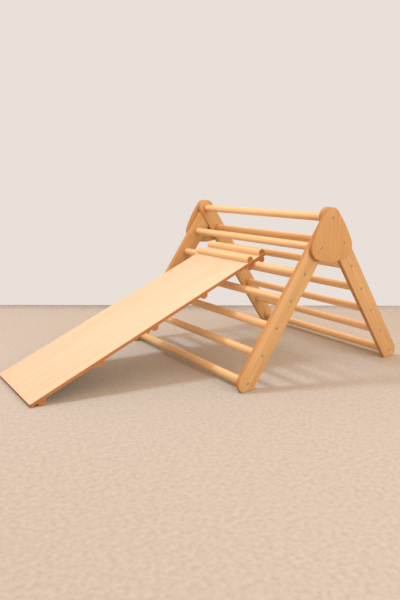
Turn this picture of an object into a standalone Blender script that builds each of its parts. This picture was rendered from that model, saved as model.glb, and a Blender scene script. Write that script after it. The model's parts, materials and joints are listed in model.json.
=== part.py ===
"""Folding climbing frame for toddlers, with a reversible slide ramp hooked on it.

Two ladders of round rungs lean on each other. A pair of rounded plates joins them at
the top: the back ladder is fixed to the plates and the front one turns on its top rung.
The ramp hangs on the second rung of the front ladder and stands on the floor.

Metres, +Z up. +X runs from the foot of the ramp to the back ladder, and Y along the
rungs. The origin is at the bottom centre of the whole object.
"""
import math

import bmesh
import bpy

# Ladders
RUNG_PITCH = 0.113          # along the back ladder, from rung to rung
FRONT_RUNGS = 6
BACK_RUNGS = 6              # below the apex rung
LEAN = math.radians(34.4)   # of both ladders, from upright
FOOT_RUNG_HEIGHT = 0.0285   # centre of the lowest rungs above the floor
PIVOT_DROP = 0.1055         # the front ladder's top rung below the apex rung
PIVOT_SETBACK = 0.0506      # and in front of it
FRAME_WIDTH = 0.806         # over the outer faces of the rails
RUNG_DIAMETER = 0.030
RAIL_WIDTH = 0.075
RAIL_THICKNESS = 0.020
SEAT_DEPTH = 0.008          # how far a rung end is let into a rail

# Side plates
PLATE_THICKNESS = 0.015
PLATE_CORNER = 0.0455       # radius round the two lower bolts
PLATE_SIDE_BULGE = 0.004
PLATE_BASE_BULGE = 0.0095

# Bolts with a hexagon socket
HEAD_DIAMETER = 0.010
HEAD_HEIGHT = 0.006
HEAD_RECESS = 0.0065        # from the wood's face down to the underside of a head
SHANK_DIAMETER = 0.006
BOLT_REACH = 0.032          # into the end of a rung
SOCKET_WIDTH = 0.005        # across flats
SOCKET_DEPTH = 0.003

# Ramp
RAMP_LENGTH = 1.056
RAMP_WIDTH = 0.362
RAMP_THICKNESS = 0.013
RAMP_SHIFT = 0.045          # of its middle, towards the far side
RAMP_CORNER = 0.005
HOOK_DIAMETER = 0.030
HOOK_STANDOFF = 0.0205      # a hook dowel above the board's face
HOOK_STAGGER = 0.0105       # the lower pair lies this much further from the end
SADDLE_PLAY = 0.002         # between hook dowels, over the two diameters
CLEAT_COUNT = 4
CLEAT_RADIUS = 0.015
CLEAT_FLOOR_GAP = 0.001     # under the lowest cleat
BATTEN_INSET = 0.001        # hooks and cleats end short of the board's edges

# Clearances
CONTACT_GAP = 0.0003
HEAD_CLEARANCE = 0.0004
SHANK_CLEARANCE = 0.0004
MITRE_GAP = 0.0015
BORE_CLEARANCE = 0.001      # past the tip of a bolt
CUT_OVERRUN = 0.002

# Roundness
RUNG_SIDES = 24
HEAD_SIDES = 12
SHANK_SIDES = 8
SOCKET_SIDES = 6
END_STEPS = 9
HEEL_STEPS = 2
CORNER_STEPS = 6
SIDE_STEPS = 4
BOARD_CORNER_STEPS = 3
BATTEN_STEPS = 14
RIM_ANGLE = math.radians(40)    # sharper edges than this stay crisp
WELD_DISTANCE = 0.00001

UPRIGHT = (math.pi / 2, 0.0, 0.0)      # turns a flat outline up into the XZ plane
INVERTED = (-math.pi / 2, 0.0, 0.0)    # the same, but upside down

RAIL_HALF = RAIL_WIDTH / 2
RUNG_RADIUS = RUNG_DIAMETER / 2
HOOK_RADIUS = HOOK_DIAMETER / 2
RAIL_OUTER_Y = FRAME_WIDTH / 2
RAIL_INNER_Y = RAIL_OUTER_Y - RAIL_THICKNESS
RAIL_MIDDLE_Y = RAIL_OUTER_Y - RAIL_THICKNESS / 2
PLATE_INNER_Y = RAIL_OUTER_Y + CONTACT_GAP
PLATE_MIDDLE_Y = PLATE_INNER_Y + PLATE_THICKNESS / 2
PLATE_OUTER_Y = PLATE_INNER_Y + PLATE_THICKNESS
SEAT_Y = RAIL_INNER_Y + SEAT_DEPTH
RUNG_LENGTH = 2 * (SEAT_Y - CONTACT_GAP)


def shifted(point, direction, distance):
    """The point moved along a direction in the XZ plane."""
    return (point[0] + direction[0] * distance, point[1] + direction[1] * distance)


def arc(centre, radius, start, end, steps):
    """Points along a circle, both ends included, angles in radians."""
    angles = [start + (end - start) * step / steps for step in range(steps + 1)]
    return [shifted(centre, (math.cos(a), math.sin(a)), radius) for a in angles]


# Side view of the ladders, as (x, z) from the point on the floor below the apex rung.
FRONT_DOWN = (-math.sin(LEAN), -math.cos(LEAN))
BACK_DOWN = (math.sin(LEAN), -math.cos(LEAN))
APEX = (0.0, FOOT_RUNG_HEIGHT + BACK_RUNGS * RUNG_PITCH * math.cos(LEAN))
PIVOT = (-PIVOT_SETBACK, APEX[1] - PIVOT_DROP)
FRONT_PITCH = (PIVOT[1] - FOOT_RUNG_HEIGHT) / ((FRONT_RUNGS - 1) * math.cos(LEAN))


def front_rung(index):
    """Rung 0 is the pivot, and the last one is at the foot."""
    return shifted(PIVOT, FRONT_DOWN, index * FRONT_PITCH)


def back_rung(index):
    """Rung 0 is the first one below the apex."""
    return shifted(APEX, BACK_DOWN, (index + 1) * RUNG_PITCH)


# The ramp's own frame has its origin on the rung that carries it, +X up the slope and
# +Z out of the sliding face.
RAMP_RUNG = 1
UNDERSIDE = RUNG_RADIUS + CONTACT_GAP
SLIDING_FACE = UNDERSIDE + RAMP_THICKNESS
HOOK_RISE = HOOK_STANDOFF - HOOK_RADIUS
HOOK_SPACING = RUNG_DIAMETER + HOOK_DIAMETER + SADDLE_PLAY
UPPER_HOOK_INSET = HOOK_RADIUS
LOWER_HOOK_INSET = UPPER_HOOK_INSET + HOOK_STAGGER
HOOK_BESIDE_RUNG = math.sqrt(
    (RUNG_RADIUS + HOOK_RADIUS + CONTACT_GAP) ** 2 - (UNDERSIDE - HOOK_RISE) ** 2
)
RAMP_TOP = HOOK_BESIDE_RUNG + LOWER_HOOK_INSET
RAMP_FOOT = RAMP_TOP - RAMP_LENGTH


def ramp_slope():
    """Angle at which the board lies on its rung and its lower foot edge on the floor."""
    reach = math.hypot(RAMP_FOOT, UNDERSIDE)
    return math.asin(front_rung(RAMP_RUNG)[1] / reach) + math.atan2(UNDERSIDE, -RAMP_FOOT)


SLOPE = ramp_slope()
LAST_CLEAT = RAMP_FOOT + (CLEAT_RADIUS + CLEAT_FLOOR_GAP) / math.sin(SLOPE)
LOWEST_HOOK = RAMP_TOP - LOWER_HOOK_INSET - HOOK_SPACING


def apex_x():
    """Where the apex stands, so that the origin is midway along the whole length."""
    rung_x = front_rung(RAMP_RUNG)[0]
    foot_x = rung_x + RAMP_FOOT * math.cos(SLOPE) - SLIDING_FACE * math.sin(SLOPE)
    heel_x = back_rung(BACK_RUNGS - 1)[0] + RAIL_HALF
    return -(foot_x + heel_x) / 2


APEX_X = apex_x()


def clear_scene():
    """Removes whatever the scene starts with."""
    for item in list(bpy.data.objects):
        bpy.data.objects.remove(item, do_unlink=True)


def new_collection(name):
    """A collection linked to the scene."""
    collection = bpy.data.collections.new(name)
    bpy.context.scene.collection.children.link(collection)
    return collection


def new_material(name, colour, roughness, metallic):
    """A plain surface of one colour."""
    material = bpy.data.materials.new(name)
    material.use_nodes = True
    shader = material.node_tree.nodes["Principled BSDF"]
    shader.inputs["Base Color"].default_value = (*colour, 1.0)
    shader.inputs["Roughness"].default_value = roughness
    shader.inputs["Metallic"].default_value = metallic
    return material


def new_object(name, data, collection, location=(0.0, 0.0, 0.0), rotation=(0.0, 0.0, 0.0)):
    """An object placed in a collection."""
    item = bpy.data.objects.new(name, data)
    item.location = location
    item.rotation_euler = rotation
    collection.objects.link(item)
    return item


def baked_mesh(item):
    """The object's finished mesh; the object itself is removed."""
    bpy.context.view_layer.update()
    depsgraph = bpy.context.evaluated_depsgraph_get()
    mesh = bpy.data.meshes.new_from_object(item.evaluated_get(depsgraph))
    bpy.data.objects.remove(item, do_unlink=True)
    return mesh


def sheet_mesh(name, outline, thickness, collection):
    """A flat outline given half its thickness to each side, as a welded mesh."""
    curve = bpy.data.curves.new(name, "CURVE")
    curve.dimensions = "2D"
    curve.fill_mode = "BOTH"
    curve.extrude = thickness / 2
    spline = curve.splines.new("POLY")
    spline.points.add(len(outline) - 1)
    for point, (x, y) in zip(spline.points, outline):
        point.co = (x, y, 0.0, 1.0)
    spline.use_cyclic_u = True
    mesh = baked_mesh(new_object(name, curve, collection))
    work = bmesh.new()
    work.from_mesh(mesh)
    bmesh.ops.remove_doubles(work, verts=work.verts, dist=WELD_DISTANCE)
    bmesh.ops.recalc_face_normals(work, faces=work.faces)
    work.to_mesh(mesh)
    work.free()
    return mesh


def cylinder_mesh(name, radius, length, sides):
    """A round bar about local Z, centred on the origin."""
    mesh = bpy.data.meshes.new(name)
    work = bmesh.new()
    bmesh.ops.create_cone(
        work, cap_ends=True, segments=sides, radius1=radius, radius2=radius, depth=length
    )
    work.to_mesh(mesh)
    work.free()
    return mesh


def turned_object(name, profile, sides, collection):
    """A profile of (radius, height) points turned about local Z."""
    mesh = bpy.data.meshes.new(name)
    work = bmesh.new()
    verts = [work.verts.new((radius, 0.0, height)) for radius, height in profile]
    for first, second in zip(verts, verts[1:]):
        work.edges.new((first, second))
    work.to_mesh(mesh)
    work.free()
    item = new_object(name, mesh, collection)
    screw = item.modifiers.new("Turn", "SCREW")
    screw.steps = sides
    screw.render_steps = sides
    screw.use_merge_vertices = True
    screw.merge_threshold = WELD_DISTANCE
    return item


def shade_round(mesh):
    """Smooth on the curved faces, sharp at the rims."""
    mesh.shade_smooth()
    mesh.set_sharp_from_angle(angle=RIM_ANGLE)


def as_cutter(item):
    """Marks an object as a guide that isn't part of the model."""
    item.hide_render = True
    item.display_type = "WIRE"
    return item


def cut(item, cutter, name):
    """Takes the cutter's shape out of the object."""
    boolean = item.modifiers.new(name, "BOOLEAN")
    boolean.operation = "DIFFERENCE"
    boolean.solver = "EXACT"
    boolean.object = cutter


def foot_arcs(centre, front_angle, back_angle):
    """A rail's rounded foot round its lowest rung, cut off level with the floor."""
    flat = math.asin(FOOT_RUNG_HEIGHT / RAIL_HALF)
    front = arc(centre, RAIL_HALF, front_angle, math.pi + flat, END_STEPS)
    back = arc(centre, RAIL_HALF, 2 * math.pi - flat, back_angle, END_STEPS)
    return front + back


def front_rail_outline():
    """Foot, back edge, heel that swings past the back rail, mitre and front tip."""
    to_back_rail = (math.cos(LEAN), math.sin(LEAN))
    ahead = (APEX[0] - PIVOT[0]) * to_back_rail[0] + (APEX[1] - PIVOT[1]) * to_back_rail[1]
    swing = ahead - RAIL_HALF - MITRE_GAP
    foot = foot_arcs(front_rung(FRONT_RUNGS - 1), math.pi - LEAN, 2 * math.pi - LEAN)
    heel_rise = math.sqrt(swing ** 2 - RAIL_HALF ** 2)
    heel_start = math.pi / 2 - LEAN - math.atan2(RAIL_HALF, heel_rise)
    heel = arc(PIVOT, swing, heel_start, LEAN, HEEL_STEPS)
    tip_rise = (swing + RAIL_HALF * math.cos(2 * LEAN)) / math.sin(2 * LEAN)
    tip = shifted(PIVOT, (-math.cos(LEAN), math.sin(LEAN)), RAIL_HALF)
    tip = shifted(tip, FRONT_DOWN, -tip_rise)
    return foot + heel + [tip]


def back_rail_outline():
    """Round top about the apex rung, straight edges and rounded foot."""
    top = arc(APEX, RAIL_HALF, LEAN, math.pi + LEAN, 2 * END_STEPS)
    foot = foot_arcs(back_rung(BACK_RUNGS - 1), math.pi + LEAN, 2 * math.pi + LEAN)
    return top + foot


def bulged_side(first, first_radius, second, second_radius, bulge):
    """Centre and radius of the big arc that runs round two corner circles."""
    length = math.hypot(second[0] - first[0], second[1] - first[1])
    along = ((second[0] - first[0]) / length, (second[1] - first[1]) / length)
    inward = (-along[1], along[0])
    radius = length ** 2 / (8 * bulge) + (first_radius + second_radius) / 2
    first_span = radius - first_radius
    second_span = radius - second_radius
    travel = (length ** 2 + first_span ** 2 - second_span ** 2) / (2 * length)
    depth = math.sqrt(first_span ** 2 - travel ** 2)
    return shifted(shifted(first, along, travel), inward, depth), radius


def heading(start, end):
    """Angle of the line from one point to another."""
    return math.atan2(end[1] - start[1], end[0] - start[0])


def swept(start, end):
    """The end angle, raised until it lies counter-clockwise of the start."""
    while end < start:
        end += 2 * math.pi
    return end


def plate_outline():
    """Three round corners joined by slightly bulging sides, counter-clockwise."""
    back_corner = (back_rung(0)[0], PIVOT[1])
    corners = [(APEX, RAIL_HALF), (PIVOT, PLATE_CORNER), (back_corner, PLATE_CORNER)]
    bulges = [PLATE_SIDE_BULGE, PLATE_BASE_BULGE, PLATE_SIDE_BULGE]
    sides = []
    for index, bulge in enumerate(bulges):
        first, first_radius = corners[index]
        second, second_radius = corners[(index + 1) % len(corners)]
        sides.append(bulged_side(first, first_radius, second, second_radius, bulge))
    points = []
    for index, (corner, radius) in enumerate(corners):
        start = heading(sides[index - 1][0], corner)
        end = swept(start, heading(sides[index][0], corner))
        points += arc(corner, radius, start, end, CORNER_STEPS)
        following = corners[(index + 1) % len(corners)][0]
        centre, side_radius = sides[index]
        side_end = swept(end, heading(centre, following))
        points += arc(centre, side_radius, end, side_end, SIDE_STEPS)[1:-1]
    return points


def batten_outline(radius, rise):
    """A round bar with a flat on its underside; rise is its centre above the flat."""
    dip = math.asin(rise / radius)
    return arc((0.0, rise), radius, -dip, math.pi + dip, BATTEN_STEPS)


def board_outline():
    """The ramp's face, from its middle, with small round corners."""
    half_length = RAMP_LENGTH / 2 - RAMP_CORNER
    half_width = RAMP_WIDTH / 2 - RAMP_CORNER
    points = []
    for turn, (side_x, side_y) in enumerate([(1, 1), (-1, 1), (-1, -1), (1, -1)]):
        start = turn * math.pi / 2
        centre = (side_x * half_length, side_y * half_width)
        points += arc(centre, RAMP_CORNER, start, start + math.pi / 2, BOARD_CORNER_STEPS)
    return points


def new_axis(name, location, collection, parent=None, tilt=0.0):
    """An empty that marks an axis along Y and carries the pieces that turn on it."""
    empty = new_object(name, None, collection, location, (0.0, tilt, 0.0))
    empty.parent = parent
    return empty


def add_part(name, mesh, material, axis, location, rotation, collection):
    """A piece of the model, carried by an axis empty."""
    item = new_object(name, mesh, collection, location, rotation)
    item.parent = axis
    if not mesh.materials:
        mesh.materials.append(material)
    return item


def rung_mesh(collection):
    """A round rung with a blind bore for a bolt in each end."""
    bar = new_object("bar", cylinder_mesh("rung", RUNG_RADIUS, RUNG_LENGTH, RUNG_SIDES), collection)
    depth = BOLT_REACH + BORE_CLEARANCE
    bore_mesh = cylinder_mesh("bore", SHANK_DIAMETER / 2 + SHANK_CLEARANCE, 2 * depth, SHANK_SIDES)
    bores = []
    for side in (-1, 1):
        bore = new_object("bore", bore_mesh, collection, (0.0, 0.0, side * RUNG_LENGTH / 2))
        bores.append(as_cutter(bore))
        cut(bar, bore, "Bolt bore")
    mesh = baked_mesh(bar)
    for bore in bores:
        bpy.data.objects.remove(bore, do_unlink=True)
    shade_round(mesh)
    return mesh


def bolt_mesh(name, grip, collection):
    """A socket-head bolt; its head's underside is at height 0 and its tip below."""
    head = HEAD_DIAMETER / 2
    shank = SHANK_DIAMETER / 2
    tip = -(grip + BOLT_REACH)
    profile = [(0, HEAD_HEIGHT), (head, HEAD_HEIGHT), (head, 0), (shank, 0), (shank, tip), (0, tip)]
    bolt = turned_object(name, profile, HEAD_SIDES, collection)
    across = SOCKET_WIDTH / math.cos(math.pi / SOCKET_SIDES) / 2
    key = cylinder_mesh("key", across, 2 * SOCKET_DEPTH, SOCKET_SIDES)
    key = as_cutter(new_object("key", key, collection, (0.0, 0.0, HEAD_HEIGHT)))
    cut(bolt, key, "Socket")
    mesh = baked_mesh(bolt)
    bpy.data.objects.remove(key, do_unlink=True)
    shade_round(mesh)
    return mesh


def rung_list(axes):
    """Each rung's name, side-view place, carrying axis, and whether plates cover it."""
    rungs = [("apex", APEX, axes["apex"], True)]
    for index in range(FRONT_RUNGS):
        rungs.append((f"front_{index}", front_rung(index), axes["fold"], index == 0))
    for index in range(BACK_RUNGS):
        rungs.append((f"back_{index}", back_rung(index), axes["apex"], index == 0))
    return rungs


def relative(point, axis_point):
    """A side-view point as (x, z) from an axis."""
    return (point[0] - axis_point[0], point[1] - axis_point[1])


def add_rungs_and_bolts(rungs, axes, mats, model):
    """Every rung, with a bolt through the rail at each end."""
    rung = rung_mesh(model)
    bare_grip = RAIL_THICKNESS - SEAT_DEPTH - HEAD_RECESS + CONTACT_GAP
    plate_grip = bare_grip + PLATE_THICKNESS + CONTACT_GAP
    short_bolt = bolt_mesh("short bolt", bare_grip, model)
    long_bolt = bolt_mesh("long bolt", plate_grip, model)
    for name, point, axis, plated in rungs:
        x, z = relative(point, axes["points"][axis.name])
        carrier = axis
        if name == f"front_{RAMP_RUNG}":
            add_part(f"rung_{name}", rung, mats["rung"], axes["hook"], (0, 0, 0), UPRIGHT, model)
        else:
            add_part(f"rung_{name}", rung, mats["rung"], axis, (x, 0, z), UPRIGHT, model)
        mesh = long_bolt if plated else short_bolt
        head_y = (PLATE_OUTER_Y if plated else RAIL_OUTER_Y) - HEAD_RECESS
        for side, place, turn in (("near", -head_y, UPRIGHT), ("far", head_y, INVERTED)):
            add_part(f"bolt_{name}_{side}", mesh, mats["bolt"], carrier, (x, place, z), turn, model)


def hole_cutters(rungs, cutters):
    """For each rung: its seat in the rails, the bolt's hole and the two head seats."""
    seat = cylinder_mesh("seat", RUNG_RADIUS + CONTACT_GAP, 2 * SEAT_Y, RUNG_SIDES)
    width = 2 * (PLATE_OUTER_Y + CUT_OVERRUN)
    hole = cylinder_mesh("hole", SHANK_DIAMETER / 2 + SHANK_CLEARANCE, width, SHANK_SIDES)
    sink_radius = HEAD_DIAMETER / 2 + HEAD_CLEARANCE
    sink_depth = HEAD_RECESS + CONTACT_GAP
    sink = cylinder_mesh("sink", sink_radius, 2 * sink_depth, HEAD_SIDES)
    sets = {}
    for name, (x, z), _axis, plated in rungs:
        face_y = PLATE_OUTER_Y if plated else RAIL_OUTER_Y
        place = (APEX_X + x, 0.0, z)
        made = {
            "seat": new_object(f"cut_seat_{name}", seat, cutters, place, UPRIGHT),
            "hole": new_object(f"cut_hole_{name}", hole, cutters, place, UPRIGHT),
        }
        for side, sign in (("near", -1), ("far", 1)):
            spot = (APEX_X + x, sign * face_y, z)
            made[side] = new_object(f"cut_sink_{name}_{side}", sink, cutters, spot, UPRIGHT)
        for cutter in made.values():
            as_cutter(cutter)
        sets[name] = made
    return sets


def bored(item, sets, names, side, sunk):
    """Cuts a rail for the named rungs; sunk holds those whose bolt heads it takes."""
    for name in names:
        cut(item, sets[name]["seat"], f"Seat {name}")
        cut(item, sets[name]["hole"], f"Hole {name}")
        if name in sunk:
            cut(item, sets[name][side], f"Head {name}")


def add_rails(sets, axes, mats, model):
    """The four leaning boards of the two ladders."""
    front_names = [f"front_{index}" for index in range(FRONT_RUNGS)]
    back_names = ["apex"] + [f"back_{index}" for index in range(BACK_RUNGS)]
    plated = ("apex", "front_0", "back_0")
    front = [relative(point, PIVOT) for point in front_rail_outline()]
    back = [relative(point, APEX) for point in back_rail_outline()]
    for label, outline, axis, names in (
        ("front", front, axes["fold"], front_names),
        ("back", back, axes["apex"], back_names),
    ):
        mesh = sheet_mesh(f"{label} rail", outline, RAIL_THICKNESS, model)
        for side, sign in (("near", -1), ("far", 1)):
            spot = (0.0, sign * RAIL_MIDDLE_Y, 0.0)
            rail = add_part(f"rail_{label}_{side}", mesh, mats["rail"], axis, spot, UPRIGHT, model)
            sunk = [name for name in names if name not in plated]
            bored(rail, sets, names, side, sunk)


def add_plates(sets, axes, mats, model):
    """The two rounded plates that join the ladders."""
    outline = [relative(point, APEX) for point in plate_outline()]
    mesh = sheet_mesh("plate", outline, PLATE_THICKNESS, model)
    for side, sign in (("near", -1), ("far", 1)):
        spot = (0.0, sign * PLATE_MIDDLE_Y, 0.0)
        plate = add_part(f"plate_{side}", mesh, mats["plate"], axes["apex"], spot, UPRIGHT, model)
        for name in ("apex", "front_0", "back_0"):
            cut(plate, sets[name]["hole"], f"Hole {name}")
            cut(plate, sets[name][side], f"Head {name}")


def add_ramp(axes, mats, model):
    """The board, its two pairs of hook dowels and the cleats under it."""
    middle = ((RAMP_TOP + RAMP_FOOT) / 2, RAMP_SHIFT, UNDERSIDE + RAMP_THICKNESS / 2)
    board = sheet_mesh("board", board_outline(), RAMP_THICKNESS, model)
    add_part("ramp_board", board, mats["board"], axes["ramp"], middle, (0, 0, 0), model)
    length = RAMP_WIDTH - 2 * BATTEN_INSET
    hook = sheet_mesh("hook", batten_outline(HOOK_RADIUS, HOOK_RISE), length, model)
    cleat = sheet_mesh("cleat", batten_outline(CLEAT_RADIUS, 0.0), length, model)
    shade_round(hook)
    shade_round(cleat)
    for index, label in enumerate(("end", "inner")):
        x = RAMP_TOP - UPPER_HOOK_INSET - index * HOOK_SPACING
        spot = (x, RAMP_SHIFT, SLIDING_FACE + CONTACT_GAP)
        add_part(f"ramp_hook_upper_{label}", hook, mats["batten"], axes["ramp"], spot, UPRIGHT, model)
        x = RAMP_TOP - LOWER_HOOK_INSET - index * HOOK_SPACING
        spot = (x, RAMP_SHIFT, UNDERSIDE - CONTACT_GAP)
        add_part(f"ramp_hook_lower_{label}", hook, mats["batten"], axes["ramp"], spot, INVERTED, model)
    for index in range(1, CLEAT_COUNT + 1):
        x = LOWEST_HOOK + (LAST_CLEAT - LOWEST_HOOK) * index / CLEAT_COUNT
        spot = (x, RAMP_SHIFT, UNDERSIDE - CONTACT_GAP)
        add_part(f"ramp_cleat_{index}", cleat, mats["batten"], axes["ramp"], spot, INVERTED, model)


def new_axes(model):
    """Empties on the apex rung, the fold pivot and the rung that carries the ramp."""
    apex = new_axis("apex_axis", (APEX_X + APEX[0], 0.0, APEX[1]), model)
    fold = new_axis("fold_axis", (APEX_X + PIVOT[0], 0.0, PIVOT[1]), model)
    rung_x, rung_z = relative(front_rung(RAMP_RUNG), PIVOT)
    hook = new_axis("hook_rung_axis", (rung_x, 0.0, rung_z), model, fold)
    ramp = new_axis("ramp_axis", (0.0, 0.0, 0.0), model, hook, -SLOPE)
    points = {"apex_axis": APEX, "fold_axis": PIVOT}
    return {"apex": apex, "fold": fold, "hook": hook, "ramp": ramp, "points": points}


def new_materials():
    """One surface for each kind of piece."""
    return {
        "rail": new_material("Oiled pine board", (0.72, 0.44, 0.20), 0.50, 0.0),
        "plate": new_material("Oiled birch plate", (0.74, 0.47, 0.22), 0.48, 0.0),
        "rung": new_material("Turned beech rung", (0.82, 0.56, 0.30), 0.45, 0.0),
        "board": new_material("Varnished ply face", (0.90, 0.76, 0.54), 0.38, 0.0),
        "batten": new_material("Beech dowel", (0.66, 0.38, 0.16), 0.50, 0.0),
        "bolt": new_material("Zinc-plated steel", (0.52, 0.50, 0.47), 0.35, 0.9),
    }


def build():
    """Makes the whole object."""
    clear_scene()
    model = new_collection("toddler_slide")
    cutters = new_collection("cutters")
    axes = new_axes(model)
    mats = new_materials()
    rungs = rung_list(axes)
    sets = hole_cutters(rungs, cutters)
    add_rails(sets, axes, mats, model)
    add_plates(sets, axes, mats, model)
    add_rungs_and_bolts(rungs, axes, mats, model)
    add_ramp(axes, mats, model)
    bpy.context.view_layer.update()


build()
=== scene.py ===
# %% [markdown]
# # A toddler's climbing frame with a slide
# Two ladders of round wooden rungs lean on each other under a pair of rounded plates,
# and a smooth board hooks over one rung as a slide. Everything is wood but the bolts.
# The measured model is loaded first as a frame. It could be dressed with better
# materials alone, but its edges are as sharp as a drawing's, and real boards are eased,
# rounded and bored. So every piece is made again here in its measured place, and rides
# on the part of the frame that it belongs to.

import json
import math

import bmesh
import bpy
from mathutils import Matrix, Vector

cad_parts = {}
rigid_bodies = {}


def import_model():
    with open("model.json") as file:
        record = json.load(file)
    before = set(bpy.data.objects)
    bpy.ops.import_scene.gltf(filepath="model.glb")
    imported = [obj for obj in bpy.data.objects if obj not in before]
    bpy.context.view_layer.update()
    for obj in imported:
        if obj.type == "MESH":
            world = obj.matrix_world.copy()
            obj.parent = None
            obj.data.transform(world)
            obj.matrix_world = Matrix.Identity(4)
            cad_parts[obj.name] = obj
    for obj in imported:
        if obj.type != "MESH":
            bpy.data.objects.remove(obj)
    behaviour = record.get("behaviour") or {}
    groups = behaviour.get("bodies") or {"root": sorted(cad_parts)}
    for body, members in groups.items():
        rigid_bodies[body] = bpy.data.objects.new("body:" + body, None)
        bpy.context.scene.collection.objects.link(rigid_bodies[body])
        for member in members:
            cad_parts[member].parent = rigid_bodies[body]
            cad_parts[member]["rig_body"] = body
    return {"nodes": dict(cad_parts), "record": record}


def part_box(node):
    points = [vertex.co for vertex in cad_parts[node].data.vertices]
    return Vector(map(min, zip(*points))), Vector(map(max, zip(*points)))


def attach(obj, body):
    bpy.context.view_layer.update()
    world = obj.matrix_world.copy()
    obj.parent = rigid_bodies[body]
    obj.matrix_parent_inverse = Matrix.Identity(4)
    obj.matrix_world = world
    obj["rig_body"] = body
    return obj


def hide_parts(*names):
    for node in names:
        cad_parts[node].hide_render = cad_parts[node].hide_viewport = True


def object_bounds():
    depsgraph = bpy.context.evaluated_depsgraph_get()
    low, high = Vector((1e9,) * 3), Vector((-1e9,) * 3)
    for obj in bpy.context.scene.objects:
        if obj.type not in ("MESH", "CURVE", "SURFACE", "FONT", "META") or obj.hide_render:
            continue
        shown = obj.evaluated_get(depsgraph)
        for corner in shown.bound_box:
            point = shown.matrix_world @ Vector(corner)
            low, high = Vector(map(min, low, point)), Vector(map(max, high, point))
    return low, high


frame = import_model()
cad_low, cad_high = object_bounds()
print("whole object, mm:", [round(1000 * side) for side in cad_high - cad_low])

# %% [markdown]
# ## Measuring
# A joiner measures before cutting. Every place is read off the frame, either from a
# piece's box or with a tape laid along a slanting direction, so nothing has to be
# fitted by eye. Ladders and slide all lie in the side view, which is the XZ plane.

# %% A centre finder and a tape measure
def middle(node):
    """Centre of a frame piece's box."""
    low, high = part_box(node)
    return (low + high) / 2


def taped(node, direction):
    """Lowest and highest reach of a frame piece along a direction."""
    reach = [corner.co.dot(direction) for corner in frame["nodes"][node].data.vertices]
    return min(reach), max(reach)


ACROSS = Vector((0.0, 1.0, 0.0))
print("apex rung at", [round(c, 4) for c in middle("rung_apex")])

# %% Directions of the two ladders and the slide
def upward(foot, top):
    """Unit vector in the side view from one rung to a higher one."""
    way = middle(top) - middle(foot)
    way.y = 0.0
    return way.normalized()


def facing(up):
    """Square to a direction, in the side view, and pointing to the back."""
    return Vector((up.z, 0.0, -up.x))


front_up = upward("rung_front_5", "rung_front_0")
back_up = upward("rung_back_5", "rung_apex")
lift = next(j for j in frame["record"]["behaviour"]["joints"] if j["name"] == "ramp_lift")
board_out = Vector(lift["axis"]).normalized()
slope_up = Vector((board_out.z, 0.0, -board_out.x))
lean = math.degrees(math.atan2(back_up.x, back_up.z))
print("ladders lean", round(abs(lean), 1), "degrees")
print("slide rises", round(math.degrees(math.asin(slope_up.z)), 1), "degrees")

# %% [markdown]
# ## Finishing a piece
# Each shape below is worked as a bmesh, which is Blender's editable mesh, and turned
# into an object at the end. The object itself stays at the origin and the piece's
# place is in its mesh. Faces are shaded smooth, with a sharp crease kept only where
# two of them meet at a steep angle. An edge can have another finish than the face
# beside it, for sawn end grain or for painted shade, so a piece may be given two and a
# test that picks the faces for the second.

# %% From worked mesh to finished piece
def as_mesh(work, name):
    """The worked shape as plain mesh data."""
    mesh = bpy.data.meshes.new(name)
    work.to_mesh(mesh)
    work.free()
    return mesh


CREASE = math.radians(35.0)


def finished(mesh, node, finishes):
    """An object that stands for one frame piece and rides on its body."""
    mesh.name = "fine_" + node
    piece = bpy.data.objects.new(mesh.name, mesh)
    bpy.context.scene.collection.objects.link(piece)
    for finish in finishes:
        mesh.materials.append(finish)
    mesh.shade_smooth()
    mesh.set_sharp_from_angle(angle=CREASE)
    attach(piece, frame["nodes"][node]["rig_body"])
    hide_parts(node)
    return piece


def second_finish(mesh, chosen):
    """Gives the second finish to the faces that a test picks."""
    for face in mesh.polygons:
        face.material_index = 1 if chosen(face) else 0


# %% [markdown]
# ## Turned shapes
# Rungs and bolts come off a lathe: half of their outline is drawn beside the axis and
# swung right round it. In Blender that is a spin. The two ends of the outline lie on
# the axis, so the spin leaves doubles there, which are merged before the faces are
# turned outwards.

# %% A lathe
def turned(outline, sides):
    """Spins (radius, height) points round the Z axis into a closed solid."""
    work = bmesh.new()
    points = [work.verts.new((radius, 0.0, height)) for radius, height in outline]
    edges = [work.edges.new(pair) for pair in zip(points, points[1:])]
    bmesh.ops.spin(
        work,
        geom=points + edges,
        cent=(0, 0, 0),
        axis=(0, 0, 1),
        angle=2 * math.pi,
        steps=sides,
        use_merge=True,
    )
    bmesh.ops.remove_doubles(work, verts=work.verts, dist=1e-6)
    bmesh.ops.recalc_face_normals(work, faces=work.faces)
    return work


def laid_along(direction, place):
    """Turns local Z to a direction and moves the shape to its place."""
    turn = Vector((0, 0, 1)).rotation_difference(direction).to_matrix().to_4x4()
    return Matrix.Translation(place) @ turn


# %% [markdown]
# ## Boring and recessing
# Holes are bored through rounded boards, so their mouths have to follow the wood
# whatever face they meet. A Boolean does that, and its result is kept as plain mesh.
# The drill is one stepped shape per hole, with a flared shoulder that takes the sharp
# edge off the hole's mouth.

# %% A drill press
def carved(mesh, drills):
    """The mesh with the drills' shape taken out of it."""
    blank = bpy.data.objects.new("blank", mesh)
    drill = bpy.data.objects.new("drill", as_mesh(drills, "drill"))
    for item in (blank, drill):
        bpy.context.scene.collection.objects.link(item)
    boring = blank.modifiers.new("Bore", "BOOLEAN")
    boring.operation = "DIFFERENCE"
    boring.solver = "EXACT"
    boring.object = drill
    bpy.context.view_layer.update()
    graph = bpy.context.evaluated_depsgraph_get()
    result = bpy.data.meshes.new_from_object(blank.evaluated_get(graph))
    for item in (blank, drill):
        bpy.data.objects.remove(item)
    return result


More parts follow.
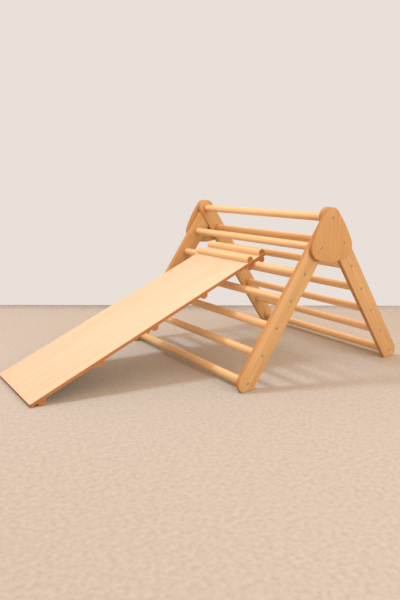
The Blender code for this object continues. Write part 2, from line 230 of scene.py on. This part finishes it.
def gathered(shapes):
    """Several worked meshes in one."""
    whole = bmesh.new()
    for shape in shapes:
        mesh = as_mesh(shape, "shape")
        whole.from_mesh(mesh)
        bpy.data.meshes.remove(mesh)
    return whole


# %% [markdown]
# ## Nodes for the finishes
# Wood isn't one colour. Growth rings, streaks, fine fibres and slow drifts of tone lie
# over each other, and all of them run along the grain. They are made from noise and wave
# patterns on each piece's own coordinates, turned so that the grain is their Z axis.
# A picture of wood would be quicker, but it shows the same board everywhere.

# %% Small helpers for building node trees
def feed(socket, value):
    """Sets an input, or links it where the value is another node's output."""
    if isinstance(value, bpy.types.NodeSocket):
        socket.id_data.links.new(value, socket)
    else:
        socket.default_value = value


def node(tree, kind, **inputs):
    """Adds a node; an input's name has its spaces written as underscores."""
    made_node = tree.nodes.new("ShaderNode" + kind)
    for name, value in inputs.items():
        feed(made_node.inputs[name.replace("_", " ")], value)
    return made_node


def maths(tree, operation, *values):
    """One sum on numbers or outputs."""
    made_node = tree.nodes.new("ShaderNodeMath")
    made_node.operation = operation
    for socket, value in zip(made_node.inputs, values):
        feed(socket, value)
    return made_node.outputs[0]


def blank_finish(name):
    """A new material with its node tree and its shader."""
    finish = bpy.data.materials.new(name)
    finish.use_nodes = True
    return finish, finish.node_tree, finish.node_tree.nodes["Principled BSDF"]


# %% Coordinates with the grain along Z
def along_grain(tree, grain, heart):
    """Object coordinates turned so that the grain is Z; heart is the tree's middle."""
    turn = grain.rotation_difference(Vector((0, 0, 1))).to_euler()
    place = node(tree, "TexCoord").outputs["Object"]
    turned_place = node(tree, "Mapping", Vector=place, Rotation=turn)
    return node(tree, "Mapping", Vector=turned_place.outputs[0], Location=(*heart, 0.0)).outputs[0]


def stretched(tree, place, across, along):
    """Coordinates for a pattern that is fine across the grain and long with it."""
    return node(tree, "Mapping", Vector=place, Scale=(across, across, along)).outputs[0]


# %% The layers of a piece of wood
def ring_layer(tree, place, spacing, waviness):
    """Growth rings: bands round the tree's middle, wavering slowly along the grain."""
    drawn_out = stretched(tree, place, 1.0, 0.12)
    rings = node(
        tree,
        "TexWave",
        Vector=drawn_out,
        Scale=math.pi / (10 * spacing),
        Distortion=waviness,
        Detail=2.0,
        Detail_Scale=0.35,
        Detail_Roughness=0.55,
    )
    rings.wave_type = "RINGS"
    rings.rings_direction = "Z"
    return rings.outputs["Fac"]


def fibre_layer(tree, place):
    """Fibres about a millimetre wide and some fifty times as long."""
    drawn_out = stretched(tree, place, 900.0, 16.2)
    return node(tree, "TexNoise", Vector=drawn_out, Scale=1.0, Detail=4.0, Roughness=0.6).outputs[0]


def drift_layer(tree, place, across, along):
    """Slow changes of tone over a few centimetres."""
    drawn_out = stretched(tree, place, across, along)
    return node(tree, "TexNoise", Vector=drawn_out, Scale=1.0, Detail=1.5).outputs[0]


def streak_layer(tree, place):
    """Long streaks a few millimetres wide, never evenly spaced."""
    drawn_out = stretched(tree, place, 130.0, 2.2)
    return node(tree, "TexNoise", Vector=drawn_out, Scale=1.0, Detail=3.0, Distortion=0.4).outputs[0]


def fleck_layer(tree, place):
    """Short dark dashes, nearly all of them faint."""
    drawn_out = stretched(tree, place, 1100.0, 140.0)
    specks = node(tree, "TexNoise", Vector=drawn_out, Scale=1.0, Detail=0.0).outputs[0]
    return node(tree, "MapRange", Value=specks, From_Min=0.66, From_Max=0.8).outputs[0]


FLECK_STRENGTH = -0.12


# %% Mixing the layers into one tone
def blended(tree, layers):
    """Adds up (layer, weight) pairs about a middle tone of a half."""
    tone = 0.5 - sum(weight for _, weight in layers) / 2
    for layer, weight in layers:
        tone = maths(tree, "MULTIPLY_ADD", layer, weight, tone)
    return tone


def toned(tree, tone, dark, mid, pale):
    """Colours for a tone from 0 to 1."""
    ramp = node(tree, "ValToRGB", Fac=tone)
    ramp.color_ramp.elements[0].color = (*dark, 1.0)
    ramp.color_ramp.elements[1].color = (*pale, 1.0)
    ramp.color_ramp.elements.new(0.5).color = (*mid, 1.0)
    return ramp.outputs["Color"]


def surfaced(tree, shader, tone, rough, relief):
    """Roughness that follows the tone, and a shallow relief in the grain."""
    spread = node(tree, "MapRange", Value=tone, To_Min=rough + 0.09, To_Max=rough - 0.07)
    feed(shader.inputs["Roughness"], spread.outputs[0])
    bump = node(tree, "Bump", Height=tone, Strength=0.35, Distance=relief)
    feed(shader.inputs["Normal"], bump.outputs[0])


# %% Sawn and turned wood
WOOD_RELIEF = 0.0003


def wood(name, grain, colours, heart, rings=(0.006, 2.0), weights=(0.15, 0.25, 0.6, 0.4), rough=0.5):
    """A finish along a grain; weights are for rings, fibres, streaks and drift."""
    finish, tree, shader = blank_finish(name)
    place = along_grain(tree, grain, heart)
    flecks = fleck_layer(tree, place)
    tone = blended(
        tree,
        [
            (ring_layer(tree, place, *rings), weights[0]),
            (fibre_layer(tree, place), weights[1]),
            (streak_layer(tree, place), weights[2]),
            (drift_layer(tree, place, 16.0, 3.0), weights[3]),
        ],
    )
    tone = maths(tree, "MULTIPLY_ADD", flecks, FLECK_STRENGTH, tone)
    feed(shader.inputs["Base Color"], toned(tree, tone, *colours))
    surfaced(tree, shader, tone, rough, WOOD_RELIEF)
    print(name, "is ready")
    return finish


# %% End grain
CUT_RELIEF = 0.0004


def end_grain(name, grain, colours, heart, spacing=0.0022, rough=0.62):
    """Close growth rings and open pores, as on the sawn end of a dowel."""
    finish, tree, shader = blank_finish(name)
    place = along_grain(tree, grain, heart)
    pores = node(tree, "TexVoronoi", Vector=place, Scale=1400.0).outputs["Distance"]
    tone = blended(
        tree,
        [
            (ring_layer(tree, place, spacing, 1.2), 0.4),
            (pores, 0.3),
            (drift_layer(tree, place, 60.0, 60.0), 0.35),
        ],
    )
    feed(shader.inputs["Base Color"], toned(tree, tone, *colours))
    surfaced(tree, shader, tone, rough, CUT_RELIEF)
    print(name, "is ready")
    return finish


# %% The striped edge of plywood
def ply_edge(name, stack, thickness, plies, colours, rough=0.6):
    """Layers that lie square to the stack direction, end grain and side grain in turn."""
    finish, tree, shader = blank_finish(name)
    place = along_grain(tree, stack, (0.0, 0.0))
    layers = node(
        tree,
        "TexWave",
        Vector=place,
        Scale=math.pi / (10 * 2 * thickness / plies),
        Distortion=0.25,
        Detail=1.0,
        Detail_Scale=12.0,
    )
    layers.wave_type = "BANDS"
    layers.bands_direction = "Z"
    streaks = node(tree, "Mapping", Vector=place, Scale=(60.0, 60.0, 2500.0)).outputs[0]
    streaks = node(tree, "TexNoise", Vector=streaks, Scale=1.0, Detail=3.0).outputs[0]
    tone = blended(tree, [(layers.outputs["Fac"], 0.55), (streaks, 0.45)])
    feed(shader.inputs["Base Color"], toned(tree, tone, *colours))
    surfaced(tree, shader, tone, rough, CUT_RELIEF)
    print(name, "is ready")
    return finish


# %% Zinc-plated steel
ZINC = ((0.36, 0.34, 0.31), (0.56, 0.53, 0.48), (0.72, 0.69, 0.64))


def plated_steel(name):
    """Cloudy grey metal with fine scratches."""
    finish, tree, shader = blank_finish(name)
    place = node(tree, "TexCoord").outputs["Object"]
    clouds = node(tree, "TexNoise", Vector=place, Scale=420.0, Detail=3.0).outputs[0]
    scratches = node(tree, "TexNoise", Vector=place, Scale=2600.0, Detail=2.0).outputs[0]
    tone = blended(tree, [(clouds, 0.7), (scratches, 0.5)])
    feed(shader.inputs["Base Color"], toned(tree, tone, *ZINC))
    shader.inputs["Metallic"].default_value = 0.9
    surfaced(tree, shader, tone, 0.38, 0.0001)
    print(name, "is ready")
    return finish


# %% [markdown]
# ## The finishes of this object
# The ladders' boards are honey-coloured pine, oiled, and their edges are given a browner
# finish than their faces. That browner edge colour is painted shade. It stands for the shade
# on the boards' thin faces, and the plates' edges carry painted shade in the same way. The
# rungs and dowels are paler beech, and the dowels' ends a dark tan. The slide is a cream
# veneer, varnished smooth, with a rusty plywood edge. Each finish has three colours, dark,
# middle and pale. The grain runs along each board, so each direction gets its own finish,
# and its own tree heart so that no two boards match.

# %% Oiled boards, with painted shade on their edges
UP = Vector((0.0, 0.0, 1.0))
HONEY = ((0.42, 0.225, 0.08), (0.615, 0.385, 0.165), (0.74, 0.52, 0.27))
# Browner edge colours: painted shade for the shade on the boards' thin faces.
EDGE_PAINTED_SHADE = ((0.36, 0.16, 0.045), (0.54, 0.275, 0.09), (0.68, 0.40, 0.16))
FRONT_HEART = (0.11, 0.19)
BACK_HEART = (-0.17, 0.12)
FACE_WEIGHTS = (0.12, 0.25, 0.7, 0.5)
EDGE_WEIGHTS = (0.1, 0.3, 0.5, 0.4)

front_board = wood("oiled front boards", front_up, HONEY, FRONT_HEART, (0.016, 7.0), FACE_WEIGHTS)
back_board = wood("oiled back boards", back_up, HONEY, BACK_HEART, (0.018, 7.0), FACE_WEIGHTS)
front_edge_painted_shade = wood("front edges with painted shade", front_up, EDGE_PAINTED_SHADE, FRONT_HEART, weights=EDGE_WEIGHTS, rough=0.58)
back_edge_painted_shade = wood("back edges with painted shade", back_up, EDGE_PAINTED_SHADE, BACK_HEART, weights=EDGE_WEIGHTS, rough=0.58)

# %% Oiled plates, with painted shade on their edges
AMBER = ((0.38, 0.185, 0.06), (0.58, 0.335, 0.13), (0.70, 0.45, 0.205))
# Plate edge colours: the ply stripes are real, and their darkness is painted shade and painted contact
# shadow.
PLATE_EDGE_PAINTED_SHADE = ((0.30, 0.11, 0.03), (0.50, 0.22, 0.07), (0.66, 0.34, 0.13))
PLATE_WEIGHTS = (0.08, 0.25, 0.45, 0.5)
PLIES = 9

plate_board = wood("oiled plate face", UP, AMBER, (0.4, 0.3), rings=(0.02, 8.0), weights=PLATE_WEIGHTS)
plate_edge_shade = ply_edge("plate edge with painted shade", ACROSS, 0.015, PLIES, PLATE_EDGE_PAINTED_SHADE)

# %% Turned beech
PEACH = ((0.62, 0.36, 0.15), (0.86, 0.61, 0.34), (0.94, 0.74, 0.48))
TAN = ((0.28, 0.09, 0.025), (0.48, 0.195, 0.065), (0.62, 0.30, 0.12))

rung_wood = wood("turned beech", ACROSS, PEACH, (0.05, 0.31), rings=(0.008, 2.0), rough=0.42)
dowel_end = end_grain("beech end grain", ACROSS, TAN, (0.21, 0.33))

# %% Varnished slide board and bolts
CREAM = ((0.62, 0.47, 0.27), (0.745, 0.62, 0.48), (0.83, 0.73, 0.61))
RUST = ((0.22, 0.075, 0.02), (0.48, 0.20, 0.06), (0.66, 0.34, 0.13))

slide_face = wood(
    "varnished birch veneer",
    slope_up,
    CREAM,
    (0.02, 0.45),
    rings=(0.03, 9.0),
    weights=(0.1, 0.25, 0.8, 0.2),
    rough=0.34,
)
slide_edge = ply_edge("varnished birch edge", board_out, 0.013, PLIES, RUST)
steel = plated_steel("zinc-plated steel")

# %% [markdown]
# ## Rungs
# Thirteen beech dowels of one size join the ladders' sides. Their ends are let into
# the boards and take a bolt, so each end has a blind bore. They could be cylinders
# with Boolean bores, but the bores are round and on the axis, so one outline with the
# bores already in it does the whole rung on the lathe.

# %% Turn the rungs
RIM = 0.0008
BORE = 0.0034
BORE_DEPTH = 0.033
RUNG_SIDES = 48


def rung_outline(radius, length):
    """Half of a rung's section, with the bores for the bolts in its ends."""
    end = length / 2
    half = [(0.0, end - BORE_DEPTH), (BORE, end - BORE_DEPTH), (BORE, end - RIM / 2)]
    half += [(BORE + RIM / 2, end), (radius - RIM, end)]
    half += [(radius - RIM / 3, end - RIM / 3), (radius, end - RIM)]
    return half + [(r, -h) for r, h in reversed(half)]


rungs = ["rung_apex"] + [f"rung_{side}_{step}" for side in ("front", "back") for step in range(6)]
for name in rungs:
    low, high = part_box(name)
    shape = turned(rung_outline(taped(name, UP)[1] - middle(name).z, high.y - low.y), RUNG_SIDES)
    shape.transform(laid_along(ACROSS, middle(name)))
    finished(as_mesh(shape, name), name, [rung_wood])
print("turned", len(rungs), "rungs,", round(1000 * (high.y - low.y)), "mm long")

# %% [markdown]
# ## Bolts
# A socket-head bolt holds each end of each rung, sunk just under the wood. Its head
# has a chamfered rim and a six-sided socket for the key. The round part is turned,
# and the socket is cut with a six-sided drill.

# %% Turn a bolt and cut its socket
HEAD = 0.005
HEAD_DEEP = 0.006
SHANK = 0.003
TIP_CHAMFER = 0.0008
KEY = 0.0029
KEY_MOUTH = 0.0015
KEY_DEEP = 0.003
BOLT_SIDES = 36


def bolt(length):
    """A bolt with its head's face at height 0 and its tip below."""
    outline = [(0, 0), (HEAD - 0.0007, 0), (HEAD - 0.0002, -0.0003), (HEAD, -0.0009)]
    outline += [(HEAD, -HEAD_DEEP), (SHANK, -HEAD_DEEP), (SHANK, TIP_CHAMFER - length)]
    outline += [(SHANK - TIP_CHAMFER, -length), (0, -length)]
    key = [(0, 0.001), (KEY + KEY_MOUTH, 0.001), (KEY, -0.0003), (KEY, -KEY_DEEP)]
    key += [(0, -KEY_DEEP - 0.0004)]
    return carved(as_mesh(turned(outline, BOLT_SIDES), "bolt"), turned(key, 6))


# %% Put a bolt in every rung end
for end, outward in (("near", -1), ("far", 1)):
    for name in rungs:
        node_name = f"bolt_{name.removeprefix('rung_')}_{end}"
        low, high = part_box(node_name)
        face_y = high.y if outward > 0 else low.y
        mesh = bolt(high.y - low.y)
        mesh.transform(laid_along(ACROSS * outward, (middle(name).x, face_y, middle(name).z)))
        finished(mesh, node_name, [steel])
print("bolts fitted:", 2 * len(rungs))

# %% [markdown]
# ## Ladder sides
# Four pine boards make the sides. Each starts as a plain board. Its square ends are
# rounded by beveling their corner edges by half of the width, so the two quarter
# rounds meet in a half circle about the last rung. The foot is sawn flat on the floor,
# the front board's top is sawn along the back board, and all the long edges are eased.

# %% Rounding and easing
EASE = 0.0028


def rounded(work, edges, radius, steps):
    """Bevels edges into quarter rounds."""
    bmesh.ops.bevel(
        work,
        geom=edges,
        offset=radius,
        offset_type="OFFSET",
        segments=steps,
        profile=0.5,
        affect="EDGES",
        material=-1,
        clamp_overlap=False,
    )


def eased(work, out, radius, steps=3):
    """Rounds over the outline of the two broad faces; out points out of one of them."""
    work.normal_update()
    broad = {face for face in work.faces if abs(face.normal.dot(out)) > 0.95}
    rim = [edge for edge in work.edges if len(broad.intersection(edge.link_faces)) == 1]
    rounded(work, rim, radius, steps)


def sawn(work, place, off):
    """Cuts off whatever lies beyond a plane and closes the cut; off points at the waste."""
    parts = work.verts[:] + work.edges[:] + work.faces[:]
    bmesh.ops.bisect_plane(work, geom=parts, plane_co=place, plane_no=off, clear_outer=True)
    bmesh.ops.holes_fill(work, edges=work.edges, sides=0)


# %% A board with round ends
ROUND_STEPS = 16
LEAST_EDGE = 0.0002


def board_between(foot, top, up, out, width, thickness, round_top):
    """A board that reaches past two points on its middle line."""
    aside = out.cross(up)
    length = (top - foot).dot(up)
    work = bmesh.new()
    bmesh.ops.create_cube(work, size=1.0)
    bmesh.ops.scale(work, verts=work.verts, vec=(length + width, width, thickness))
    ends = [-1, 1] if round_top else [-1]
    upright = [e for e in work.edges if abs((e.verts[0].co - e.verts[1].co).z) > thickness / 2]
    corners = [e for e in upright if any(e.verts[0].co.x * end > 0 for end in ends)]
    rounded(work, corners, width / 2 - LEAST_EDGE / 4, ROUND_STEPS)
    bmesh.ops.remove_doubles(work, verts=work.verts, dist=LEAST_EDGE)
    turn = Matrix((up, aside, out)).transposed().to_4x4()
    work.transform(Matrix.Translation((foot + top) / 2) @ turn)
    return work


# %% Stepped drills for the rungs and bolts
HEAD_HOLE = 0.0054
HEAD_SUNK = 0.0068
SEAT_DEEP = 0.008
DRILL_SIDES = 40
CLEAR = 0.003               # how far a drill reaches out of the wood
MOUTH = 0.0005              # how deep its flare goes in


def head_steps():
    """Flared mouth and flat floor of the recess for a bolt's head."""
    flare = HEAD_HOLE + CLEAR + MOUTH
    return [(0, -CLEAR), (flare, -CLEAR), (HEAD_HOLE, MOUTH), (HEAD_HOLE, HEAD_SUNK)]


def seat_steps(seat, thickness):
    """The blind seat that a rung's end is let into, from the inner face."""
    bottom = thickness - SEAT_DEEP
    outside = thickness + CLEAR - MOUTH
    return [(BORE, bottom), (seat, bottom), (seat, thickness - MOUTH), (seat + CLEAR, outside), (0, outside)]


def rail_drill(sunk, seat, thickness):
    """Everything bored at one rung: perhaps a head's recess, the hole and the seat."""
    start = head_steps() + [(BORE, HEAD_SUNK)] if sunk else [(0, -CLEAR), (BORE, -CLEAR)]
    return turned(start + seat_steps(seat, thickness), DRILL_SIDES)


# %% Bore a ladder side
UNDER_PLATE = ("rung_apex", "rung_front_0", "rung_back_0")
SEAT_PLAY = 0.0003


def rail_bored(work, node_name, rungs_in, outward):
    """The board with a stepped hole for each of its rungs."""
    low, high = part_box(node_name)
    face_y = high.y if outward > 0 else low.y
    drills = []
    for name in rungs_in:
        seat = taped(name, UP)[1] - middle(name).z + SEAT_PLAY
        drill = rail_drill(name not in UNDER_PLATE, seat, high.y - low.y)
        drill.transform(laid_along(ACROSS * -outward, (middle(name).x, face_y, middle(name).z)))
        drills.append(drill)
    return carved(as_mesh(work, node_name), gathered(drills))


# %% Saw, ease and bore the four sides
MITRE_GAP = 0.0015
INSIDE_BOX = 0.0002         # the boards are this much narrower than measured
PAST_PIVOT = 0.12
HEEL_ROUND = 0.009


def ladder_side(ladder, end, outward):
    """One of the four side boards, sawn, eased and bored."""
    node_name = f"rail_{ladder}_{end}"
    low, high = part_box(node_name)
    up = front_up if ladder == "front" else back_up
    reach = taped(node_name, facing(up))
    width = reach[1] - reach[0] - INSIDE_BOX
    spot = Vector((0, (low.y + high.y) / 2, 0))
    foot = middle(f"rung_{ladder}_5") * Vector((1, 0, 1)) + spot
    top_rung = "rung_front_0" if ladder == "front" else "rung_apex"
    top = middle(top_rung) * Vector((1, 0, 1)) + spot
    if ladder == "front":
        top = top + up * PAST_PIVOT
    work = board_between(foot, top, up, ACROSS, width, high.y - low.y, ladder == "back")
    sawn(work, (0, 0, cad_low.z), (0, 0, -1))
    if ladder == "front":
        back = facing(back_up)
        sawn(work, middle("rung_apex") - back * (width / 2 + MITRE_GAP), back)
        heel = max(work.verts, key=lambda v: v.co.dot(facing(up) + 0.4 * up))
        heels = [e for e in heel.link_edges if abs((e.verts[0].co - e.verts[1].co).y) > 0.01]
        rounded(work, heels, HEEL_ROUND, 4)
    eased(work, ACROSS, EASE)
    names = [f"rung_{ladder}_{step}" for step in range(6)]
    if ladder == "back":
        names.append("rung_apex")
    return rail_bored(work, node_name, names, outward)


for ladder, face_wood, edge_shade_wood in (
    ("front", front_board, front_edge_painted_shade),
    ("back", back_board, back_edge_painted_shade),
):
    for end, outward in (("near", -1), ("far", 1)):
        side = ladder_side(ladder, end, outward)
        piece = finished(side, f"rail_{ladder}_{end}", [face_wood, edge_shade_wood])
        # The thin edge faces get the browner finish, which is painted shade.
        second_finish(piece.data, lambda face: abs(face.normal.y) < 0.5)
print("ladder sides made:", 4)

# %% [markdown]
# ## Side plates
# A rounded triangle of plywood on each side carries the three top bolts. Its outline
# is three round corners joined by slightly bulging sides, so it is drawn as a pair of
# compasses would: one point is spun round each centre in turn, and the outline
# closes on itself. The sheet is then filled, pushed out to its thickness and eased.

# %% Arcs of the outline
def side_arc(first, first_radius, second, second_radius, bulge):
    """Centre of the big arc that touches two corner circles from outside."""
    gap = second - first
    along = gap.normalized()
    inward = Vector((-along.z, 0, along.x))
    radius = gap.length_squared / (8 * bulge) + (first_radius + second_radius) / 2
    from_first = radius - first_radius
    from_second = radius - second_radius
    travel = (gap.length_squared + from_first**2 - from_second**2) / (2 * gap.length)
    return first + along * travel + inward * math.sqrt(from_first**2 - travel**2)


def bearing(start, end):
    """Angle of the line from one point to another, in the side view."""
    return math.atan2(end.z - start.z, end.x - start.x)


def swung(work, last, centre, angle, steps):
    """Spins the last point round a centre, anticlockwise as seen from the near side."""
    result = bmesh.ops.spin(
        work, geom=[last], cent=centre, axis=(0, -1, 0), angle=angle, steps=steps
    )
    return next(part for part in result["geom_last"] if isinstance(part, bmesh.types.BMVert))


# %% The plate's sheet
TIP, CORNER = 0.0373, 0.0453
SIDE_BULGE, BASE_BULGE = 0.004, 0.0095
CORNER_STEPS, SIDE_STEPS = 20, 16


def flat(point):
    """The point brought into the middle plane of the side view."""
    return Vector((point.x, 0.0, point.z))


def plate_sheet():
    """The plate's outline as one flat face."""
    apex, pivot, back = (flat(middle(n)) for n in UNDER_PLATE)
    back.z = pivot.z
    corners = [(apex, TIP), (pivot, CORNER), (back, CORNER)]
    bulges = [SIDE_BULGE, BASE_BULGE, SIDE_BULGE]
    around = [(*corners[i], *corners[(i + 1) % 3], bulges[i]) for i in range(3)]
    centres = [side_arc(*sides) for sides in around]
    work = bmesh.new()
    start = apex + (apex - centres[2]).normalized() * TIP
    last = work.verts.new(start)
    for i, (corner, _) in enumerate(corners):
        turn = bearing(centres[i], corner) - bearing(centres[i - 1], corner)
        last = swung(work, last, corner, turn % (2 * math.pi), CORNER_STEPS)
        sweep = bearing(centres[i], corners[(i + 1) % 3][0]) - bearing(centres[i], corner)
        last = swung(work, last, centres[i], sweep % (2 * math.pi), SIDE_STEPS)
    bmesh.ops.remove_doubles(work, verts=work.verts, dist=1e-5)
    bmesh.ops.contextual_create(work, geom=work.edges)
    return work


# %% Thicken, ease and bore the plates
PLATE_EASE = 0.0022


def plate(end, outward):
    """A side plate with its three stepped holes."""
    node_name = f"plate_{end}"
    low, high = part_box(node_name)
    work = plate_sheet()
    bmesh.ops.translate(work, verts=work.verts, vec=(0, low.y, 0))
    pushed = bmesh.ops.extrude_face_region(work, geom=work.faces[:], use_keep_orig=True)
    moved = [part for part in pushed["geom"] if isinstance(part, bmesh.types.BMVert)]
    bmesh.ops.translate(work, verts=moved, vec=(0, high.y - low.y, 0))
    bmesh.ops.recalc_face_normals(work, faces=work.faces)
    eased(work, ACROSS, PLATE_EASE)
    thickness = high.y - low.y
    face_y = high.y if outward > 0 else low.y
    outside = thickness + CLEAR
    steps = head_steps() + [(BORE, HEAD_SUNK), (BORE, outside), (0, outside)]
    drills = []
    for name in UNDER_PLATE:
        drill = turned(steps, DRILL_SIDES)
        drill.transform(laid_along(ACROSS * -outward, (middle(name).x, face_y, middle(name).z)))
        drills.append(drill)
    return carved(as_mesh(work, node_name), gathered(drills))


for end, outward in (("near", -1), ("far", 1)):
    piece = finished(plate(end, outward), f"plate_{end}", [plate_board, plate_edge_shade])
    # The plate's edge faces get the darker ply finish, which is partly painted shade.
    second_finish(piece.data, lambda face: abs(face.normal.y) < 0.6)
print("plates made: 2")

# %% [markdown]
# ## Slide board
# The slide is one sheet of plywood with small round corners and eased edges. A long
# cube does it. The faces that look neither up nor down get the striped edge finish.

# %% Cut the slide
BOARD_CORNER = 0.005
BOARD_EASE = 0.0015


def slide_board():
    """The slide's sheet, lying in its slope."""
    low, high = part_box("ramp_board")
    foot, top = taped("ramp_board", slope_up)
    under, over = taped("ramp_board", board_out)
    work = bmesh.new()
    bmesh.ops.create_cube(work, size=1.0)
    bmesh.ops.scale(work, verts=work.verts, vec=(top - foot, high.y - low.y, over - under))
    upright = [e for e in work.edges if abs((e.verts[0].co - e.verts[1].co).z) > 0.005]
    rounded(work, upright, BOARD_CORNER, 6)
    eased(work, UP, BOARD_EASE)
    centre = slope_up * (foot + top) / 2 + board_out * (under + over) / 2
    centre.y = (low.y + high.y) / 2
    turn = Matrix((slope_up, ACROSS, board_out)).transposed().to_4x4()
    work.transform(Matrix.Translation(centre) @ turn)
    return as_mesh(work, "ramp_board")


slide = finished(slide_board(), "ramp_board", [slide_face, slide_edge])
second_finish(slide.data, lambda face: abs(face.normal.dot(board_out)) < 0.6)
print("slide board made")

# %% [markdown]
# ## Hook dowels and cleats
# Two pairs of dowels near the top form the saddles that drop over a rung, one pair on
# each face, so the board can be used either way up. Half-round cleats underneath give
# toes a hold when it is turned over. Both are dowels planed flat on one side.

# %% Plane a dowel flat
DOWEL = 0.0149
DOWEL_SIDES = 40


def planed_dowel(name, out, rise):
    """A dowel along Y with a flat; rise is the height of its middle above the flat."""
    low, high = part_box(name)
    flat_at = taped(name, out)[0]
    along = slope_up * sum(taped(name, slope_up)) / 2
    half = (high.y - low.y) / 2
    outline = [(0, -half), (DOWEL - 0.0012, -half)]
    outline += [(DOWEL - 0.0003, 0.0009 - half), (DOWEL, 0.0021 - half)]
    outline += [(radius, -height) for radius, height in reversed(outline)]
    work = turned(outline, DOWEL_SIDES)
    centre = along + out * (flat_at + rise) + ACROSS * (low.y + high.y) / 2
    work.transform(laid_along(ACROSS, centre))
    sawn(work, out * flat_at, -out)
    return as_mesh(work, name)


HOOK_RISE = 0.0055
dowels = [(f"ramp_hook_upper_{n}", board_out, HOOK_RISE) for n in ("end", "inner")]
dowels += [(f"ramp_hook_lower_{n}", -board_out, HOOK_RISE) for n in ("end", "inner")]
dowels += [(f"ramp_cleat_{n}", -board_out, 0.0) for n in range(1, 5)]
for name, out, rise in dowels:
    piece = finished(planed_dowel(name, out, rise), name, [rung_wood, dowel_end])
    second_finish(piece.data, lambda face: abs(face.normal.y) > 0.9)
print("dowels and cleats made:", len(dowels))

# %% [markdown]
# ## Floor, light and camera
# A pale floor runs back to a low cove and stops there, so nothing stands between the
# object and a camera behind it. A soft lamp overhead to the left gives the rungs their
# bright tops and the slide its shadow, and a wider one in front lights the near faces.
# The rest is the pale room itself. Wood throws a warm light on wood, so what the room
# adds is warm, and stronger from above than from the sides.

# %% Camera
SPOT = Vector((-1.2485, -1.9069, 0.7274))
yaw, pitch, roll = (math.radians(a) for a in (33.576, 11.852, 0.124))
level = Vector((math.sin(yaw), math.cos(yaw), 0.0))
aim = Matrix.Rotation(-yaw, 4, "Z") @ Matrix.Rotation(math.pi / 2 - pitch, 4, "X")
aim = aim @ Matrix.Rotation(roll, 4, "Z")
lens = bpy.data.cameras.new("camera")
lens.lens = 34.965
lens.sensor_width = 36.0
camera = bpy.data.objects.new("camera", lens)
camera.matrix_world = Matrix.Translation(SPOT) @ aim
bpy.context.scene.collection.objects.link(camera)
bpy.context.scene.camera = camera
print("camera looks", round(math.degrees(pitch), 1), "degrees down")

# %% Floor with a low cove at the back
LINEN = ((0.345, 0.345, 0.335), (0.46, 0.465, 0.455), (0.56, 0.57, 0.565))
floor_finish, tree, shader = blank_finish("pale woven floor")
spot = node(tree, "TexCoord").outputs["Object"]
weave = node(tree, "TexNoise", Vector=spot, Scale=75.0, Detail=6.0).outputs[0]
feed(shader.inputs["Base Color"], toned(tree, weave, *LINEN))
feed(shader.inputs["Normal"], node(tree, "Bump", Height=weave, Strength=0.5, Distance=0.002).outputs[0])
shader.inputs["Roughness"].default_value = 0.9

FLOOR_DEEP, FLOOR_WIDE = 8.0, 10.0
FLOOR_BEHIND = 3.15         # from the camera to the cove
COVE = 0.03
aside = Vector((level.y, -level.x, 0))
far_edge = Vector((SPOT.x, SPOT.y, cad_low.z)) + level * FLOOR_BEHIND
work = bmesh.new()
start = work.verts.new(far_edge - level * FLOOR_DEEP - aside * FLOOR_WIDE / 2)
moved = bmesh.ops.extrude_vert_indiv(work, verts=[start])["verts"][0]
bmesh.ops.translate(work, verts=[moved], vec=level * FLOOR_DEEP)
hub = moved.co + Vector((0, 0, COVE))
bmesh.ops.spin(work, geom=[moved], cent=hub, axis=aside, angle=math.pi / 2, steps=10)
strip = bmesh.ops.extrude_edge_only(work, edges=work.edges)
pulled = [part for part in strip["geom"] if isinstance(part, bmesh.types.BMVert)]
bmesh.ops.translate(work, verts=pulled, vec=aside * FLOOR_WIDE)
bmesh.ops.recalc_face_normals(work, faces=work.faces)
floor = bpy.data.objects.new("floor", as_mesh(work, "floor"))
bpy.context.scene.collection.objects.link(floor)
floor.data.materials.append(floor_finish)
floor.data.shade_smooth()

# %% The pale room
room = bpy.data.worlds.new("pale room")
room.use_nodes = True
tree = room.node_tree
walls = node(tree, "Background", Color=(1.0, 0.917, 0.854, 1.0), Strength=0.81)
height = node(tree, "SeparateXYZ", Vector=node(tree, "TexCoord").outputs["Generated"]).outputs["Z"]
glow = node(tree, "MapRange", Value=height, To_Min=0.78, To_Max=1.36).outputs[0]
bounce = node(tree, "Background", Color=(1.0, 0.65, 0.42, 1.0), Strength=glow)
seen = node(tree, "LightPath").outputs["Is Camera Ray"]
mixed = tree.nodes.new("ShaderNodeMixShader")
for socket, value in zip(mixed.inputs, (seen, bounce.outputs[0], walls.outputs[0])):
    feed(socket, value)
feed(tree.nodes["World Output"].inputs["Surface"], mixed.outputs[0])
bpy.context.scene.world = room
bpy.context.scene.view_settings.view_transform = "Standard"


# %% Lamps
def soft_lamp(name, way, distance, size, power, colour):
    """A round lamp that shines on the object's middle from a direction."""
    lamp = bpy.data.lights.new(name, "AREA")
    lamp.shape = "DISK"
    lamp.size = size
    lamp.energy = power
    lamp.color = colour
    item = bpy.data.objects.new(name, lamp)
    middle_spot = (cad_low + cad_high) / 2
    way = Vector(way).normalized()
    turn = way.to_track_quat("Z", "Y").to_matrix().to_4x4()
    item.matrix_world = Matrix.Translation(middle_spot + way * distance) @ turn
    bpy.context.scene.collection.objects.link(item)
    return item


soft_lamp("key lamp", (-0.36, 0.28, 1.0), 3.4, 0.7, 50.0, (0.86, 1.0, 1.08))
soft_lamp("front lamp", (0.25, -1.0, 0.40), 3.6, 2.2, 41.0, (1.0, 1.0, 1.0))
print("lamps set")
